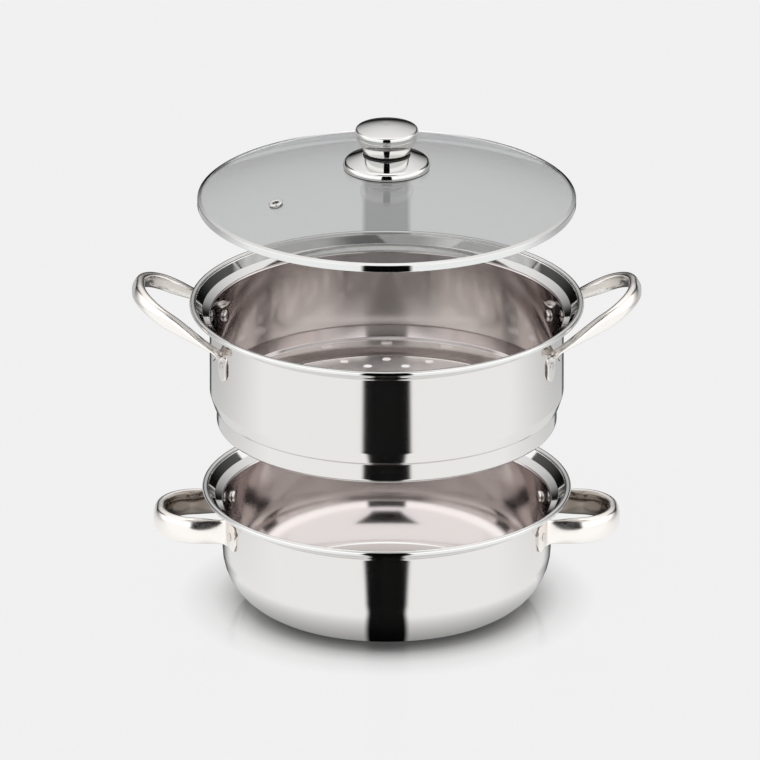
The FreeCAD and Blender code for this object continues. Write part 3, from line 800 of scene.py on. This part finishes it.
# Studio floor and background. A pale, faintly glossy table top that runs on behind the pot. It is
# seen in its own grey, with the pot's soft shadow, cast and partly painted, and steel sees it as a white
# glow.
studio_grey = "#F1F1F1"
cool_white = "#FBFEFF"
glass_grey = 0.52
floor_half = 40.0
side_lean = -0.25
# tones of the table by place, painted: what steel sees behind the pot, at its sides, before it and under it
# (painted shade), the painted shadow strip that the glass shows below the knob, and the pot's painted
# contact shadow and its fading
behind_tones = {"From Min": -0.1, "From Max": 0.45, "To Min": 1.2, "To Max": 0.6}
painted_side_shade = {"From Min": 0.125, "From Max": 0.165, "To Min": 0.12, "To Max": 1}
front_share = {"From Min": 0.06, "From Max": 0.0}
painted_under_shade = {"From Min": 0.075, "From Max": 0.15, "To Min": 0.05, "To Max": 1}
painted_strip_shadow = {"From Min": 0.016, "From Max": 0.020, "To Min": 0.5, "To Max": 1}
painted_contact_shadow = {"From Min": 0.095, "From Max": 0.13, "To Min": 0.3, "To Max": 0.88}
backdrop_share = {"From Min": 0.105, "From Max": 0.155, "To Min": 0, "To Max": 0.96}


def studio_table(name, colour):
    """Pale laminate: evenly grey, with a faint clear reflection. Polished steel sees it glowing white,
    dimmer behind the pot, with painted shade under it and at its sides; off the glass it is one even grey.
    Through the glass it has a darker strip of painted shadow. The cast shadow under the pot, painted darker
    near it, fades into the grey of the backdrop."""
    material, tree = empty_material(name)
    paths = add(tree, "ShaderNodeLightPath")
    place = add(tree, "ShaderNodeTexCoord").outputs["Object"]
    split = add(tree, "ShaderNodeSeparateXYZ", {}, {0: place})
    away = add(tree, "ShaderNodeVectorMath", {}, {0: place}, operation="LENGTH")
    behind = add(tree, "ShaderNodeMapRange", behind_tones, {"Value": split.outputs["Y"]})
    aside = add(tree, "ShaderNodeMath", {}, {0: split.outputs["X"]}, operation="ABSOLUTE")
    # painted shade: what steel sees of the table is darkened at the pot's sides, except before it
    shaded = add(
        tree, "ShaderNodeMath", {1: side_lean}, {0: split.outputs["Y"], 2: aside.outputs[0]},
        operation="MULTIPLY_ADD")
    shaded = add(tree, "ShaderNodeMapRange", painted_side_shade, {"Value": shaded.outputs[0]})
    in_front = add(tree, "ShaderNodeMapRange", front_share, {"Value": split.outputs["Y"]})
    shaded = add(
        tree, "ShaderNodeMath", {}, {0: shaded.outputs["Result"], 1: in_front.outputs["Result"]},
        operation="MAXIMUM")
    # painted shade: what steel sees of the table is darkened under the pot
    under = add(tree, "ShaderNodeMapRange", painted_under_shade, {"Value": away.outputs["Value"]})
    tone = add(
        tree, "ShaderNodeMath", {}, {0: behind.outputs["Result"], 1: under.outputs["Result"]},
        operation="MULTIPLY")
    tone = add(tree, "ShaderNodeMath", {}, {0: tone.outputs[0], 1: shaded.outputs[0]}, operation="MULTIPLY")
    tone = add(
        tree, "ShaderNodeMix", {"B": glass_grey},
        {"Factor": paths.outputs["Is Singular Ray"], "A": tone.outputs[0]})
    white = add(
        tree, "ShaderNodeEmission", {"Color": linear(cool_white)}, {"Strength": tone.outputs["Result"]})
    # painted shadow: seen through the glass, the table is darker in a narrow strip down the middle
    strip = add(tree, "ShaderNodeMapRange", painted_strip_shadow, {"Value": aside.outputs[0]})
    strip = add(
        tree, "ShaderNodeMix", {"A": 1.0},
        {"Factor": paths.outputs["Is Transmission Ray"], "B": strip.outputs["Result"]})
    grey = add(tree, "ShaderNodeEmission", {"Color": linear(colour)}, {"Strength": strip.outputs["Result"]})
    # painted shadow: the table's own colour darkens towards the pot, for its contact shadow
    close = add(tree, "ShaderNodeMapRange", painted_contact_shadow, {"Value": away.outputs["Value"]})
    table = add(
        tree, "ShaderNodeBsdfPrincipled", {"Roughness": 0.05, "Specular IOR Level": 0.5},
        {"Base Color": close.outputs["Result"]})
    far = add(tree, "ShaderNodeMapRange", backdrop_share, {"Value": away.outputs["Value"]})
    lit = add(tree, "ShaderNodeMixShader", {}, {
        "Fac": far.outputs["Result"], 1: table.outputs[0], 2: grey.outputs[0]})
    mirrored = add(
        tree, "ShaderNodeMath", {},
        {0: paths.outputs["Is Glossy Ray"], 1: paths.outputs["Is Transmission Ray"]},
        operation="SUBTRACT", use_clamp=True)
    seen = add(tree, "ShaderNodeMixShader", {}, {
        "Fac": mirrored.outputs[0], 1: lit.outputs[0], 2: white.outputs[0]})
    add(tree, "ShaderNodeOutputMaterial", {}, {"Surface": seen.outputs[0]})
    return material


def stage_piece(name, bm, material):
    """Makes the mesh a piece of the staging, which is not part of the object."""
    mesh = bpy.data.meshes.new(name)
    bm.to_mesh(mesh)
    bm.free()
    mesh.materials.append(material)
    piece = bpy.data.objects.new(name, mesh)
    bpy.context.scene.collection.objects.link(piece)
    return piece


bm = bmesh.new()
bmesh.ops.create_grid(bm, x_segments=1, y_segments=1, size=floor_half)
stage_piece("studio_floor", bm, studio_table("pale_table_painted_shadow", studio_grey))


# Cards. A narrow black flag towards the camera, from the table up, and a white disc under the tier,
# which only the polished steel sees: the flag draws the dark stripe down the walls, and the disc
# keeps the inside of the base pot light.
flag_near, flag_far, flag_top = 0.075, 2.4, 3.2
flag_lift = 2 * mm
flag_core, flag_edge = 0.18, 0.235
flag_taper, flag_flare = 0.055, 0.038
taper_near, taper_far = -0.16, -0.32
flag_width = flag_edge + flag_flare
velvet_black = "#040404"
disc_radius, disc_drop, disc_white = 122 * mm, 1.5 * mm, 1.32
disc_steps = 96
slot_width, slot_length, slot_middle = 44 * mm, 95 * mm, -8 * mm


def black_flag(name):
    """Black velvet on a frame, which reflects next to nothing. It has soft edges, is narrower next to
    the pot than further off, and is bare on its back."""
    material, tree = empty_material(name)
    place = add(tree, "ShaderNodeSeparateXYZ", {}, {0: add(tree, "ShaderNodeTexCoord").outputs["Object"]})
    aside = add(
        tree, "ShaderNodeMath", {}, {0: place.outputs["X"], 1: place.outputs["Y"]}, operation="DIVIDE")
    aside = add(tree, "ShaderNodeMath", {}, {0: aside.outputs[0]}, operation="ABSOLUTE")
    taper = add(
        tree, "ShaderNodeMapRange",
        {"From Min": taper_near, "From Max": taper_far, "To Min": flag_taper, "To Max": -flag_flare},
        {"Value": place.outputs["Y"]})
    aside = add(
        tree, "ShaderNodeMath", {}, {0: aside.outputs[0], 1: taper.outputs["Result"]}, operation="ADD")
    open_part = add(
        tree, "ShaderNodeMapRange", {"From Min": flag_core, "From Max": flag_edge},
        {"Value": aside.outputs[0]}, interpolation_type="SMOOTHSTEP")
    back = add(tree, "ShaderNodeNewGeometry").outputs["Backfacing"]
    open_part = add(
        tree, "ShaderNodeMath", {}, {0: open_part.outputs["Result"], 1: back}, operation="MAXIMUM")
    velvet = add(tree, "ShaderNodeEmission", {"Color": linear(velvet_black)})
    gap = add(tree, "ShaderNodeBsdfTransparent")
    card = add(
        tree, "ShaderNodeMixShader", {},
        {"Fac": open_part.outputs[0], 1: velvet.outputs[0], 2: gap.outputs[0]})
    add(tree, "ShaderNodeOutputMaterial", {}, {"Surface": card.outputs[0]})
    return material


def white_card(name):
    """White foam board, lit as brightly as the studio, with a black slot near its middle that darkens
    what the inside of the base pot mirrors there."""
    material, tree = empty_material(name)
    place = add(tree, "ShaderNodeSeparateXYZ", {}, {0: add(tree, "ShaderNodeTexCoord").outputs["Object"]})
    across = add(
        tree, "ShaderNodeMath", {1: 0, 2: slot_width / 2}, {0: place.outputs["X"]}, operation="COMPARE")
    lengthwise = add(
        tree, "ShaderNodeMath", {1: slot_middle, 2: slot_length / 2}, {0: place.outputs["Y"]},
        operation="COMPARE")
    slot = add(
        tree, "ShaderNodeMath", {}, {0: across.outputs[0], 1: lengthwise.outputs[0]}, operation="MULTIPLY")
    light = add(
        tree, "ShaderNodeMath", {1: -disc_white, 2: disc_white}, {0: slot.outputs[0]},
        operation="MULTIPLY_ADD")
    card = add(tree, "ShaderNodeEmission", {"Color": (1, 1, 1, 1)}, {"Strength": light.outputs[0]})
    add(tree, "ShaderNodeOutputMaterial", {}, {"Surface": card.outputs[0]})
    return material


bm = bmesh.new()
strip = [(distance * flag_width, -distance, flag_lift) for distance in (flag_near, flag_far)]
strip.append((flag_far * flag_width, -flag_far, flag_top))
right_edge = [bm.verts.new(corner) for corner in strip]
left_edge = [bm.verts.new((-x, y, z)) for x, y, z in strip]
for index in range(len(strip) - 1):
    bm.faces.new((left_edge[index], left_edge[index + 1], right_edge[index + 1], right_edge[index]))
flag = stage_piece("black_flag", bm, black_flag("black_velvet"))
bm = bmesh.new()
bmesh.ops.create_circle(
    bm, cap_ends=True, segments=disc_steps, radius=disc_radius,
    matrix=Matrix.Translation((0, 0, tier_low.z - disc_drop)))
disc = stage_piece("white_disc", bm, white_card("white_foam_board"))
for card in (flag, disc):
    card.visible_camera = False
    card.visible_diffuse = False
    card.visible_shadow = False
    card.visible_transmission = False


# Light. A white studio with soft boxes: what the steel sees of it differs by height, and differs
# between the front, the sides and the back. A broad soft lamp from the upper left gives the shadow.
# Each wall of the studio is a list of heights, from level to straight up, with the tone there.
studio_walls = {
    "front": ((0, 0.72), (0.16, 0.8), (0.24, 1.05), (0.46, 1.05), (0.56, 0.78), (0.8, 0.74), (0.885, 0.1),
              (0.94, 0.1), (0.97, 0.85), (1, 1.0)),
    "side": ((0, 0.66), (0.16, 0.8), (0.24, 1.05), (0.46, 1.05), (0.56, 0.78), (0.84, 0.72), (0.93, 0.85),
             (1, 1.0)),
    "back": ((0, 0.025), (0.14, 0.04), (0.2, 0.125), (0.28, 0.25), (0.38, 0.375), (0.47, 0.485),
             (0.58, 0.56), (0.7, 0.64), (0.85, 0.7), (0.94, 0.85), (1, 1.0)),
}
gap_lean = 0.85
gap_tones = ((0.70, 1.0), (0.78, 0.1), (0.91, 0.1), (0.99, 1.0))
back_share = {"From Min": 0.2, "From Max": 0.8}
front_wall_share = {"From Min": -0.5, "From Max": -0.85}
above_gap = {"From Min": 0.5, "From Max": 0.6}
studio_strength = 1.6
fill_grey = (0.86, 0.86, 0.86, 1)
lamp_strength, lamp_spread = 0.45, math.radians(50)
lamp_turn = (math.radians(38), math.radians(-22), 0)


def set_tones(ramp, stops):
    """Gives a colour ramp its greys, each at its place."""
    for index, (height, tone) in enumerate(stops):
        stop = ramp.elements[index] if index < 2 else ramp.elements.new(height)
        stop.position = height
        stop.color = (tone, tone, tone, 1)


world = bpy.data.worlds.new("studio")
bpy.context.scene.world = world
world.use_nodes = True
tree = world.node_tree
tree.nodes.clear()
way = add(tree, "ShaderNodeSeparateXYZ", {}, {0: add(tree, "ShaderNodeTexCoord").outputs["Generated"]})
level = add(tree, "ShaderNodeCombineXYZ", {}, {"X": way.outputs["X"], "Y": way.outputs["Y"]})
level = add(tree, "ShaderNodeVectorMath", {}, {0: level.outputs[0]}, operation="NORMALIZE")
level = add(tree, "ShaderNodeSeparateXYZ", {}, {0: level.outputs[0]})
tones = {}
for wall, stops in studio_walls.items():
    ramp = add(tree, "ShaderNodeValToRGB", {}, {"Fac": way.outputs["Z"]})
    set_tones(ramp.color_ramp, stops)
    tones[wall] = ramp.outputs["Color"]
towards_back = add(tree, "ShaderNodeMapRange", back_share, {"Value": level.outputs["Y"]})
towards_front = add(tree, "ShaderNodeMapRange", front_wall_share, {"Value": level.outputs["Y"]})
tone = add(
    tree, "ShaderNodeMix", {}, {"Factor": towards_back.outputs[0], "A": tones["side"], "B": tones["back"]},
    data_type="RGBA")
tone = add(
    tree, "ShaderNodeMix", {},
    {"Factor": towards_front.outputs[0], "A": tone.outputs["Result"], "B": tones["front"]},
    data_type="RGBA")
# a dark gap between two soft boxes leans across the back and darkens the collars of the rims
lean = add(
    tree, "ShaderNodeMath", {1: gap_lean}, {0: way.outputs["Y"], 2: way.outputs["Z"]},
    operation="MULTIPLY_ADD")
gap = add(tree, "ShaderNodeValToRGB", {}, {"Fac": lean.outputs[0]})
set_tones(gap.color_ramp, gap_tones)
over_gap = add(tree, "ShaderNodeMapRange", above_gap, {"Value": way.outputs["Z"]})
gap = add(
    tree, "ShaderNodeMath", {}, {0: gap.outputs["Color"], 1: over_gap.outputs["Result"]},
    operation="MAXIMUM")
tone = add(
    tree, "ShaderNodeMix", {"Factor": 1.0}, {"A": tone.outputs["Result"], "B": gap.outputs[0]},
    data_type="RGBA", blend_type="MULTIPLY")
# reflections see the studio, off the glass it is one even grey, and all else is lit by a plain grey
paths = add(tree, "ShaderNodeLightPath")
mirrored = add(
    tree, "ShaderNodeMath", {},
    {0: paths.outputs["Is Glossy Ray"], 1: paths.outputs["Is Transmission Ray"]}, operation="MAXIMUM")
off_glass = add(
    tree, "ShaderNodeMath", {},
    {0: paths.outputs["Is Singular Ray"], 1: paths.outputs["Is Transmission Ray"]},
    operation="SUBTRACT", use_clamp=True)
tone = add(
    tree, "ShaderNodeMix", {"B": [glass_grey / studio_strength] * 3 + [1]},
    {"Factor": off_glass.outputs[0], "A": tone.outputs["Result"]}, data_type="RGBA")
studio = add(
    tree, "ShaderNodeBackground", {"Strength": studio_strength}, {"Color": tone.outputs["Result"]})
even = add(
    tree, "ShaderNodeMix", {"A": fill_grey, "B": linear(studio_grey)},
    {"Factor": paths.outputs["Is Camera Ray"]}, data_type="RGBA")
plain = add(tree, "ShaderNodeBackground", {"Strength": 1}, {"Color": even.outputs["Result"]})
light = add(tree, "ShaderNodeMixShader", {}, {
    "Fac": mirrored.outputs[0], 1: plain.outputs["Background"], 2: studio.outputs["Background"]})
add(tree, "ShaderNodeOutputWorld", {}, {"Surface": light.outputs[0]})

lamp = bpy.data.lights.new("soft_lamp", "SUN")
lamp.energy = lamp_strength
lamp.angle = lamp_spread
lamp_object = bpy.data.objects.new("soft_lamp", lamp)
lamp_object.rotation_euler = lamp_turn
lamp_object.visible_glossy = False
bpy.context.scene.collection.objects.link(lamp_object)
bpy.context.scene.view_settings.view_transform = "Standard"


# Camera. A long lens far off, above the front of the pot and level from side to side, as for a
# catalogue picture; the pot shows almost without perspective.
camera_distance = 20.0
camera_rise = math.radians(21.5)
picture_width = 0.563
aim = Vector((-4.96 * mm, 0, 173.9 * mm))
camera = bpy.data.cameras.new("camera")
camera.sensor_width = 36
camera.lens = camera.sensor_width * camera_distance / picture_width
camera.clip_end = 200
camera_object = bpy.data.objects.new("camera", camera)
towards_camera = Vector((0, -math.cos(camera_rise), math.sin(camera_rise)))
camera_object.location = aim + camera_distance * towards_camera
camera_object.rotation_euler = (math.pi / 2 - camera_rise, 0, 0)
bpy.context.scene.collection.objects.link(camera_object)
bpy.context.scene.camera = camera_object
